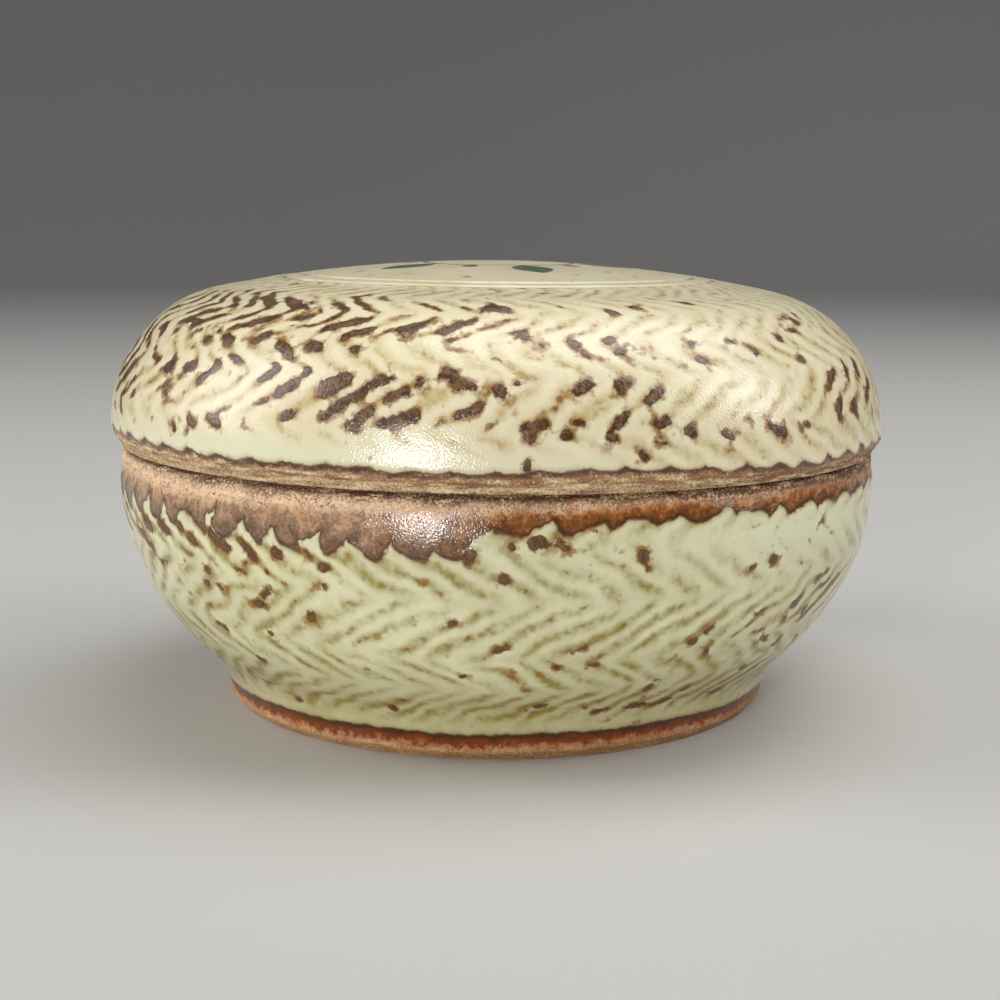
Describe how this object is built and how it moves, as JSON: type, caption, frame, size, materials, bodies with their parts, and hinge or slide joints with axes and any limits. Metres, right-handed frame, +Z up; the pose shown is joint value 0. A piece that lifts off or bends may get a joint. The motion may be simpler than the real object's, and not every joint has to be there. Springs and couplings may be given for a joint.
{
  "type": "incense box",
  "caption": "Round lidded incense box of glazed stoneware: a low bowl on a turned foot ring, with a domed lid that lifts off its standing flange.",
  "frame": {"origin": "middle of the foot ring's resting plane, on the axis of revolution", "axes": "+Z up along the axis of revolution, the way the lid lifts; the box is round, so X and Y are any two square directions in the resting plane"},
  "size_m": [0.0746, 0.0746, 0.0423],
  "materials": {
    "body_glaze": "glossy pale ash glaze over white rope-impressed slip inlay, bare brown clay at the rim and foot",
    "lid_glaze": "glossy pale ash glaze over white rope-impressed slip inlay, bare brown clay at the lip, enamelled roundel on top"
  },
  "bodies": {
    "body": {"body": "body_glaze"},
    "lid": {"lid": "lid_glaze"}
  },
  "joints": [
    {"name": "lid_lift", "type": "slide", "parent": "body", "child": "lid", "axis": [0, 0, 1], "range_m": [0, 0.06]}
  ]
}
